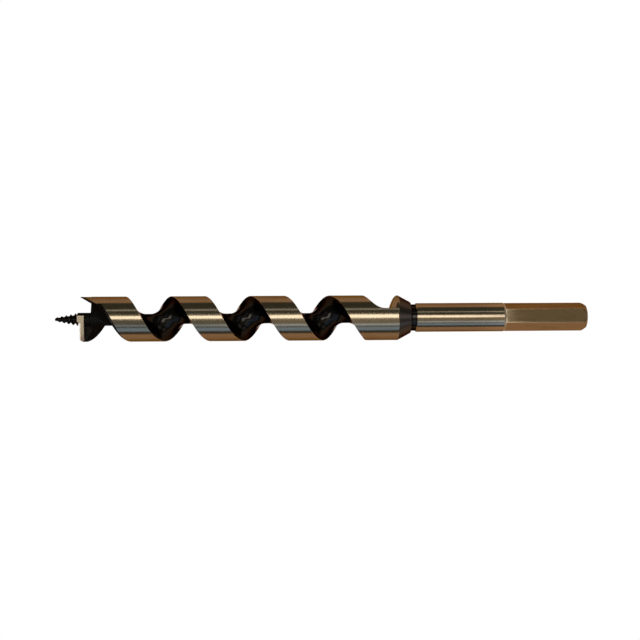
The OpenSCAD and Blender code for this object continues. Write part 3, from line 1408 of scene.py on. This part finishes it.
@dataclass
class Studio:
    """Camera, floor, lamps and surroundings, in metres."""

    aim: Point = (-0.1187, -0.00087, 0.0)
    distance: float = 0.4736
    yaw: float = 2.14
    roll: float = 0.328
    lens: float = 60.0
    sensor: float = 36.0
    floor_depth: float = 0.6
    floor_half: float = 6.0
    near_half: float = 0.385
    near_soft: float = 0.3
    near_colour: Colour = WHITE
    far_colour: Colour = (0.68, 0.46, 0.29)
    glow: float = 1.05
    glow_share: float = 0.95
    sky: Colour = (0.084, 0.088, 0.066)
    skyline: Pair = (0.03, 0.08)
    skyline_slope: float = 0.06
    lamp_height: float = 0.6
    strips: tuple[Strip, ...] = (
        Strip("front_key", (0.6, 14.6), (-0.54, -0.13), (3.9, 3.9, 3.7)),
        Strip("rear_key", (-0.2, 16.6), (-0.13, 0.085), (3.9, 3.9, 3.7)),
        Strip("core", (6.0, 9.0), (-0.54, 0.088), (11.0, 11.0, 10.4)),
        Strip("front_fill", (-26.0, 22.0), (-0.7, -0.18), (0.15, 0.15, 0.13)),
        Strip("rear_fill", (-26.0, 22.0), (-0.18, 0.083), (0.34, 0.32, 0.27)),
        Strip("drive_fill", (-26.0, 22.0), (0.083, 0.5), (0.245, 0.20, 0.13)),
        Strip("strip", (42.0, 48.0), (-0.7, 0.5), (0.8, 0.85, 0.84)),
    )
    pane_away: float = 0.7
    panes: tuple[Strip, ...] = (
        Strip("front_near_pane", (-28.0, -40.0), (-0.75, -0.2), (0.34, 0.49, 0.70)),
        Strip("rear_near_pane", (-28.0, -40.0), (-0.2, 0.5), (0.80, 0.97, 1.18)),
        Strip("far_pane", (-46.0, -66.0), (-0.75, 0.5), (0.34, 0.54, 0.86)),
    )
    ends: tuple[SoftPanel, ...] = (
        SoftPanel("end", (0.525, 0.06, 0.35), (0.22, 0.2), (0.9, 0.8, 0.75), REAR, ALONG_Y),
        SoftPanel("end_side", (0.5, -0.31, 0.25), (0.2, 0.2), (0.6, 0.6, 0.65), REAR, ALONG_Y),
    )

    def camera_turn(self) -> Matrix:
        """Directions of the camera.

        Returns:
            Its right, up and back, as columns.
        """
        yaw = Matrix.Rotation(math.radians(self.yaw), 3, "Y")
        roll = Matrix.Rotation(math.radians(self.roll), 3, "Z")
        return (roll @ yaw).transposed()

    def camera(self) -> None:
        """Place the camera above the bit."""
        data = bpy.data.cameras.new("camera")
        data.lens = self.lens
        data.sensor_width = self.sensor
        camera = bpy.data.objects.new("camera", data)
        turn = self.camera_turn()
        place = Vector(self.aim) + turn.col[2] * self.distance
        camera.matrix_world = Matrix.Translation(place) @ turn.to_4x4()
        bpy.context.scene.collection.objects.link(camera)
        bpy.context.scene.camera = camera

    def seen(self, graph: Graph) -> Value:
        """Whether a ray comes from the camera, from a reflection or through glass.

        Args:
            graph: Node tree of the floor.

        Returns:
            1 for those rays, and 0 for others.
        """
        camera = graph.node("ShaderNodeLightPath", output="Is Camera Ray")
        outputs = camera.socket.node.outputs
        glossy = Value(graph, outputs["Is Glossy Ray"])
        return camera.most(glossy).most(Value(graph, outputs["Is Transmission Ray"]))

    def floor(self) -> None:
        """Lay the pale floor, white below the bit and sand-coloured further out."""
        half = self.floor_half
        mesh = bpy.data.meshes.new("floor")
        corners = [(-half, -half, 0), (half, -half, 0), (half, half, 0), (-half, half, 0)]
        mesh.from_pydata(corners, [], [(0, 1, 2, 3)])
        floor = bpy.data.objects.new("floor", mesh)
        floor.location = (self.aim[0], self.aim[1], -self.floor_depth)
        bpy.context.scene.collection.objects.link(floor)
        material, graph = new_material("floor_pale")
        x, y, _ = graph.sides(graph.node("ShaderNodeTexCoord", output="Object"))
        out = ((x * x) ** 2 + (y * y) ** 2) ** 0.25
        out = out.rise(self.near_half, self.near_half + self.near_soft)
        colour = graph.mix(out, self.near_colour, self.far_colour)
        painted = graph.node("ShaderNodeBsdfDiffuse", None, {"Color": colour})
        glow = graph.node("ShaderNodeEmission", None, {"Color": colour, "Strength": self.glow})
        share = self.seen(graph) * self.glow_share
        shown = graph.node("ShaderNodeMixShader", None, {0: share, 1: painted, 2: glow})
        graph.node("ShaderNodeOutputMaterial", None, {"Surface": shown})
        mesh.materials.append(material)

    def surroundings(self) -> None:
        """Dim walls, sand-coloured below a skyline that lies a little lower towards +Y."""
        world = bpy.data.worlds.new("studio")
        world.use_nodes = True
        graph = Graph(world.node_tree)
        _, y, up = graph.sides(graph.node("ShaderNodeTexCoord", output="Generated"))
        height = up + y * y * y * self.skyline_slope
        colour = graph.mix(height.rise(*self.skyline), self.far_colour, self.sky)
        background = graph.node("ShaderNodeBackground", None, {"Color": colour, "Strength": 1.0})
        graph.node("ShaderNodeOutputWorld", None, {"Surface": background})
        bpy.context.scene.world = world

    def lamps(self) -> None:
        """Hang the lamps."""
        panels = [strip.overhead(self.lamp_height) for strip in self.strips]
        panels += [pane.facing(self.pane_away) for pane in self.panes]
        for panel in (*panels, *self.ends):
            panel.build()

    def build(self) -> None:
        """Set up the studio."""
        bpy.context.scene.view_settings.view_transform = "Standard"
        self.camera()
        self.floor()
        self.surroundings()
        self.lamps()


def main() -> None:
    """Build the studio and the four pieces of the bit."""
    logging.basicConfig(level=logging.INFO, format="%(name)s: %(message)s")
    Studio().build()
    twist_low, twist_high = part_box("twist")
    twist = Twist(hub_x=twist_low.x / MM, land_r=twist_high.y / MM)
    twist.build()
    CuttingLip(twist).build()
    FeedScrew(hub_x=twist.hub_x).build()
    shank_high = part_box("shank")[1]
    Shank(front_x=twist.hub_x + twist.neck_end, round_r=shank_high.y / MM).build()


if __name__ == "__main__":
    main()
